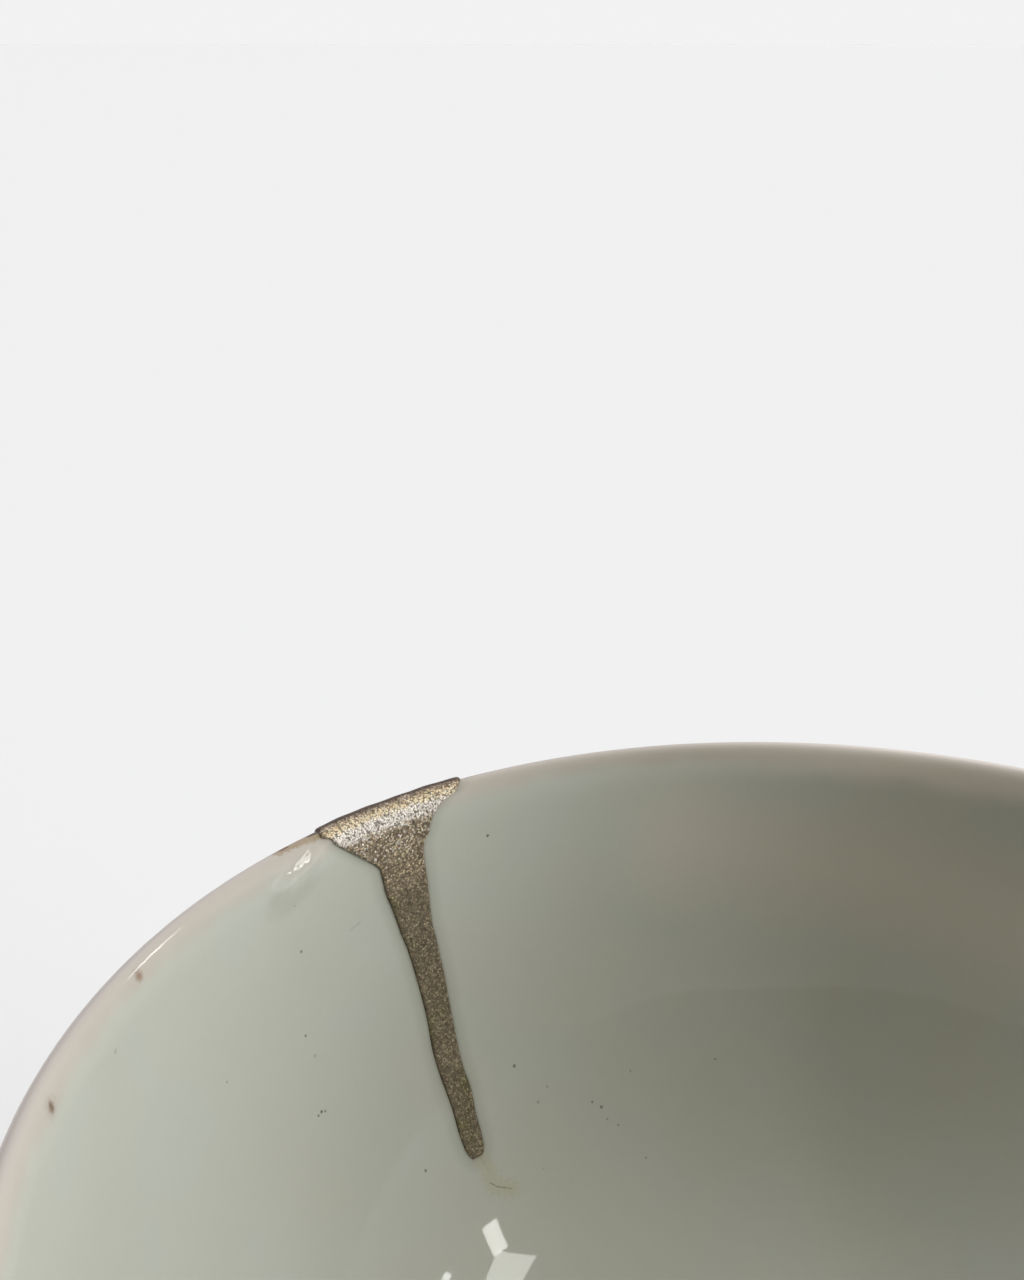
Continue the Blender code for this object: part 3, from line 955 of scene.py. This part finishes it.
@dataclass
class PorcelainCup(WallPart):
    """The turned and glazed body, with the chip and crack cut out of its wall."""

    rows: int = 240
    columns: int = 400
    dense_share: float = 0.30
    dense_turns: tuple = (math.radians(18.0), math.radians(30.0))
    cut_inset: float = 0.30 * MM
    weld_distance: float = 0.004 * MM
    sharp_angle: float = math.radians(40.0)

    def _row_spacing(self, run: Array) -> Array:
        """Wished distance between rows: fine on the lip and the foot's edges, coarser on floor and belly."""
        step = run / MM
        lip = 0.12 + 0.16 * smooth(1.5, 4.0, np.abs(step))
        cavity = 0.28 + 0.75 * smooth(32.0, 40.0, step)
        outside = 0.28 + 0.60 * smooth(2.0, 10.0, -step) - 0.62 * smooth(40.0, 46.0, -step)
        outside = outside + 1.6 * smooth(66.0, 70.0, -step)
        plain = np.where(step > 0, cavity, outside)
        return np.where(np.abs(step) < 4.0, lip, plain) * MM

    def _column_spacing(self, azimuth: Array) -> Array:
        """Wished angle between columns: a share of the plain one beside the repair and the lacquer roll."""
        away = np.abs((azimuth - self.gap.azimuth + math.pi) % (2 * math.pi) - math.pi)
        return self.dense_share + (1.0 - self.dense_share) * smooth(*self.dense_turns, away)

    def surface(self) -> tuple[Array, Array]:
        """Points of the turned form with its glaze waves.

        Point (u, v): u is the azimuth, v the run. Radius and height come from the section at v, moved along
        the section's normal by the glaze waves, and the radius is turned to azimuth u.

        Returns:
            The grid of points, rows along the run, and each point's distance outside the repair.
        """
        runs = spread(self.section.runs[-1], self.section.runs[0], self.rows, self._row_spacing)[::-1]
        turns = spread(-math.pi, math.pi, self.columns + 1, self._column_spacing)[:-1]
        run, turn = np.meshgrid(runs, turns, indexing="ij")
        point, normal = self.section.at(run)
        point = point + normal * self.waves.at(turn, run)[..., None]
        return turned(point, turn), self.gap.distance_outside(turn, run, point[..., 0])

    def build(self, finish: GlazeFinish) -> bpy.types.Object:
        """Make the cup and dress it.

        Args:
            finish: the glaze.

        Returns:
            The finished piece.
        """
        grid, near = self.surface()
        rows, columns = grid.shape[:2]
        faces = grid_faces(rows, columns, closed=True).tolist()
        piece = mesh_object("porcelain_body", grid.reshape(-1, 3), faces, {"repair_distance": near.ravel()})
        weld(piece, self.weld_distance)
        cutter = RepairShape(self.section, self.gap, self.waves).cutter(self.cut_inset)
        cut = piece.modifiers.new("Break", "BOOLEAN")
        cut.operation = "DIFFERENCE"
        cut.solver = "EXACT"
        cut.object = cutter
        settle_modifiers(piece)
        bpy.data.objects.remove(cutter, do_unlink=True)
        piece.data.set_sharp_from_angle(angle=self.sharp_angle)
        piece.data.materials.clear()
        piece.data.materials.append(finish.build(self.section))
        return piece


def settle_modifiers(piece: bpy.types.Object) -> None:
    """Replace an object's mesh by its mesh with all modifiers applied.

    Args:
        piece: the object.
    """
    graph = bpy.context.evaluated_depsgraph_get()
    mesh = bpy.data.meshes.new_from_object(piece.evaluated_get(graph), depsgraph=graph)
    piece.modifiers.clear()
    piece.data = mesh


Lift = Callable[[Array, Array, Array], Array]


def level_at(height: float) -> Lift:
    """Lift that is the same height everywhere."""
    return lambda run, reach, edge: np.full(run.shape, height)


@dataclass
class RepairShape(WallPart):
    """The fill as a solid: a strip over the lip and down both faces, joined through the wall."""

    least_width: float = 0.10 * MM
    weld_distance: float = 0.002 * MM
    cutter_rows: int = 240
    cutter_columns: int = 7
    cutter_levels: tuple = (1.0 * MM, -0.05 * MM)

    def strip(self, rows: int, shares: Array, inset: float, lift: Lift) -> dict:
        """Strip of points from the outer tip over the crest to the inner tip.

        Row i is at a run that grows evenly from the outer tip to the crest and from there to the inner tip.
        Column j is at a share of the way from the left to the right edge. Each point is moved out along the
        wall's normal by the lift.

        Args:
            rows: rows on each face.
            shares: -1 at the left edge to 1 at the right edge.
            inset: how far the edges are drawn in.
            lift: height above the glaze, from run, reach and distance to the edge.

        Returns:
            Points, runs and edge distances by name.
        """
        share = np.linspace(0.0, 1.0, rows + 1)
        inner = share * (self.gap.inside_length - inset)
        outer = share[1:][::-1] * (self.gap.outside_length - inset)
        run = np.concatenate([-outer, inner])[:, None] + 0.0 * shares[None, :]
        left, right = self.gap.edges(run)
        left, right = left + inset, right - inset
        right = np.maximum(right, left + self.least_width)
        middle, half = (left + right) / 2.0, (right - left) / 2.0
        reach = middle + half * shares[None, :]
        tip = np.where(run > 0, self.gap.inside_length - run, self.gap.outside_length + run)
        edge = np.minimum(np.minimum(reach - left, right - reach), tip)
        point, normal = self.section.at(run)
        turn = self.gap.azimuth + np.arcsin(reach / point[..., 0])
        height = self.waves.at(turn, run) + lift(run, reach, edge)
        point = point + normal * height[..., None]
        turn = self.gap.azimuth + np.arcsin(reach / point[..., 0])
        return {"points": turned(point, turn), "run": run, "edge": edge}

    def closed(self, name: str, top: dict, body: dict) -> bpy.types.Object:
        """Close a strip into a solid with walls that run through the porcelain.

        The left wall joins each inner edge point to the outer edge point of the same row number, by way of
        the body strip's edge points; the right wall and the wall at the tip do the same.

        Args:
            name: the object's name.
            top: the visible strip.
            body: a drawn-in strip with the same rows and columns, for the part inside the wall.

        Returns:
            The welded solid.
        """
        rings = [top["points"], body["points"]]
        half = len(rings[0]) // 2
        parts = [(rings[0], top["run"], top["edge"])]
        for column in (0, -1):
            inner = [ring[half:, column] for ring in rings]
            parts.append(self._wall(inner, [ring[half::-1, column] for ring in rings]))
        parts.append(self._wall([ring[-1] for ring in rings], [ring[0] for ring in rings]))
        grids, runs, edges = zip(*parts)
        faces, offset = [], 0
        for grid in grids:
            faces.extend(grid_faces(*grid.shape[:2], offset).tolist())
            offset += grid[..., 0].size
        points = np.concatenate([grid.reshape(-1, 3) for grid in grids])
        values = {
            key: np.concatenate([part.ravel() for part in column])
            for key, column in (("run", runs), ("edge_distance", edges))
        }
        piece = mesh_object(name, points, faces, values)
        weld(piece, self.weld_distance)
        return piece

    @staticmethod
    def _wall(inner: list[Array], outer: list[Array]) -> tuple[Array, Array, Array]:
        """Wall between two edge lines, by way of the drawn-in lines, with run and edge distance 0."""
        grid = np.stack(inner + outer[::-1], axis=1)
        return grid, np.zeros(grid.shape[:2]), np.zeros(grid.shape[:2])

    def cutter(self, inset: float) -> bpy.types.Object:
        """Solid that cuts the break out of the porcelain and stands beyond both faces."""
        shares = np.linspace(-1.0, 1.0, self.cutter_columns)
        lifts = (level_at(level) for level in self.cutter_levels)
        top, body = (self.strip(self.cutter_rows, shares, inset, lift) for lift in lifts)
        return self.closed("break_cutter", top, body)


@dataclass
class GoldRepair(WallPart):
    """The lacquer fill with gold powder, proud of the glaze and lapping over the edges of the break."""

    proud: float = 0.24 * MM
    sunk: float = 0.03 * MM
    shoulder: float = 0.38 * MM
    lump_height: float = 0.022 * MM
    rows: int = 330
    columns: int = 64
    body_inset: float = 0.33 * MM
    body_level: float = -0.06 * MM
    sharp_angle: float = math.radians(60.0)

    def lift(self, run: Array, reach: Array, edge: Array) -> Array:
        """Height of the lacquer above the glaze.

        A quarter ellipse rises from just below the glaze at the edge to the full height a shoulder's width
        in, and slow waves lie on it.
        """
        share = np.clip(edge / self.shoulder, 0.0, 1.0)
        rise = np.sqrt(1.0 - (1.0 - share) ** 2)
        down, aside = run / MM, reach / MM
        lumps = np.sin(down * 1.9 + aside * 0.8) + 0.7 * np.sin(down * 0.83 - aside * 2.3 + 1.0)
        return -self.sunk + (self.proud + self.sunk) * rise + self.lump_height * lumps * rise

    def build(self, finish: GoldFinish) -> bpy.types.Object:
        """Make the repair and dress it.

        Args:
            finish: the gold lacquer.

        Returns:
            The finished piece.
        """
        even = np.linspace(-1.0, 1.0, self.columns)
        shares = np.sin(even * math.pi / 2.0) * 0.45 + even * 0.55
        shape = RepairShape(self.section, self.gap, self.waves)
        top = shape.strip(self.rows, shares, 0.0, self.lift)
        under = shape.strip(self.rows, shares, self.body_inset, level_at(self.body_level))
        piece = shape.closed("gold_lacquer_fill", top, under)
        piece.data.set_sharp_from_angle(angle=self.sharp_angle)
        piece.data.materials.append(finish.build())
        return piece


def heading(azimuth: float, elevation: float) -> Vector:
    """Unit vector of an azimuth from +Y towards +X and an elevation, both in degrees."""
    turn, rise = math.radians(azimuth), math.radians(elevation)
    return Vector((math.sin(turn) * math.cos(rise), math.cos(turn) * math.cos(rise), math.sin(rise)))


@dataclass(frozen=True)
class Lamp:
    """One studio light, placed by azimuth from +Y towards +X and elevation, facing the cup."""

    name: str
    azimuth: float
    elevation: float
    distance: float
    width: float
    depth: float
    radiance: float
    colour: tuple = (1.0, 1.0, 1.0)
    roll: float = 0.0

    def build(self, target: Vector) -> None:
        """Make the light.

        Args:
            target: what it faces.
        """
        data = bpy.data.lights.new(self.name, "AREA")
        data.shape = "RECTANGLE"
        data.size, data.size_y = self.width, self.depth
        data.energy = self.radiance * math.pi * (self.width * self.depth)
        data.color = self.colour
        made = put(self.name, data)
        way = heading(self.azimuth, self.elevation)
        roll = Quaternion((0, 0, 1), math.radians(self.roll))
        made.location = target + way * self.distance
        made.rotation_euler = (way.to_track_quat("Z", "Y") @ roll).to_euler()
        made.visible_camera = False


@dataclass(frozen=True)
class PhotoCamera:
    """The camera, fitted to the rim's ellipse in the 1024 by 1280 picture."""

    focal_pixels: float = 1500.0
    picture_height: float = 1280.0
    pitch: float = 21.8
    place: tuple = (-20.4 * MM, -66.3 * MM, 104.65 * MM)
    sensor: float = 36.0
    nearest: float = 2.0 * MM

    def build(self) -> None:
        """Make the camera and use it."""
        data = bpy.data.cameras.new("photo_camera")
        data.sensor_width = self.sensor
        data.lens = self.sensor * self.focal_pixels / self.picture_height
        data.clip_start = self.nearest
        made = put("photo_camera", data)
        made.location = self.place
        made.rotation_euler = (math.radians(90.0 - self.pitch), 0.0, 0.0)
        bpy.context.scene.camera = made


@dataclass(frozen=True)
class Glow:
    """Soft bright side of the surroundings: colour times the cosine to its middle, to a power."""

    azimuth: float
    elevation: float
    tightness: float
    colour: tuple


@dataclass
class Studio:
    """Floor, lights and surroundings."""

    glows: tuple = (
        Glow(100.0, 5.0, 8.0, (5.84, 5.98, 6.10)),
        Glow(340.0, 40.0, 4.0, (2.80, 2.74, 3.10)),
        Glow(90.0, 80.0, 6.0, (0.30, 0.36, 0.20)),
    )
    ambient: tuple = (0.082, 0.055, 0.026)
    mirrored_share: float = 0.25
    backdrop: tuple = (0.8905, 0.8895, 0.8905)
    lamps: tuple = (
        Lamp("window_post", 99.1, 44.9, 300.0, 31.0, 15.0, 20.0, (1.0, 0.99, 0.95), roll=59.0),
        Lamp("window_pane", 91.2, 50.5, 300.0, 42.0, 38.0, 12.5, (1.0, 0.99, 0.95)),
        Lamp("window_sill", 87.5, 40.2, 300.0, 7.0, 5.5, 20.0),
        Lamp("far_window", 60.5, 27.5, 300.0, 30.0, 46.0, 18.0),
    )
    floor_size: float = 80.0
    floor_lines: int = 9
    aim: tuple = (0.0, 0.0, 0.03)

    def build(self) -> None:
        """Make the floor, the lights and the even surroundings."""
        half = self.floor_size / 2.0
        line = np.linspace(-half, half, self.floor_lines)
        x, y = np.meshgrid(line, line, indexing="ij")
        points = np.stack([x, y, np.zeros_like(x)], axis=-1).reshape(-1, 3)
        faces = grid_faces(len(line), len(line))[:, ::-1].tolist()
        floor = mesh_object("studio_floor", points, faces, {})
        floor.data.materials.append(FloorFinish().build())
        for lamp in self.lamps:
            lamp.build(Vector(self.aim))
        self._surround()

    def _surround(self) -> None:
        """Set the surroundings: glows as lighting, an even pale tone where the camera sees past the floor."""
        world = bpy.data.worlds.new("surround")
        bench = Bench(world, Coordinates.DIRECTION)
        total = self.ambient
        for glow in self.glows:
            facing = bench.vector("DOT_PRODUCT", bench.place, heading(glow.azimuth, glow.elevation), "Value")
            share = facing.most(0.0) ** glow.tightness
            total = bench.vector("ADD", total, bench.scaled(glow.colour, share))
        mirrored = bench.node("ShaderNodeLightPath", {}, {}, "Is Glossy Ray")
        strength = 1.0 - mirrored * (1.0 - self.mirrored_share)
        light = bench.node("ShaderNodeBackground", {}, {"Color": total, "Strength": strength})
        pale = bench.node("ShaderNodeBackground", {}, {"Color": (*self.backdrop, 1.0)})
        seen = bench.node("ShaderNodeLightPath", {}, {}, "Is Camera Ray")
        shown = bench.node("ShaderNodeMixShader", {}, {0: seen, 1: light, 2: pale})
        bench.output("ShaderNodeOutputWorld", shown)
        bpy.context.scene.world = world


def build_pieces() -> None:
    """Make the two pieces of the cup, hang them on the root body and hide the solids they stand for."""
    low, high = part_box(PORCELAIN_NODE)
    section = WallSection(rim_radius=(high.x - low.x) / 2.0, height=high.z)
    gap = Break()
    waves = GlazeWaves()
    cup = PorcelainCup(section, gap, waves).build(GlazeFinish())
    repair = GoldRepair(section, gap, waves).build(GoldFinish())
    ties = ((cup, PORCELAIN_NODE, "glazed_porcelain"), (repair, REPAIR_NODE, "gold_lacquer"))
    for piece, node, slot in ties:
        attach(piece, "root")
        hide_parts(node)
        LOG.info("%s: %d faces", piece.name, len(piece.data.polygons))


def main() -> None:
    """Build the scene in order: pieces, studio, camera, then the Standard view transform."""
    logging.basicConfig(level=logging.INFO, format="%(message)s")
    build_pieces()
    Studio().build()
    PhotoCamera().build()
    bpy.context.scene.view_settings.view_transform = "Standard"


if __name__ == "__main__":
    main()
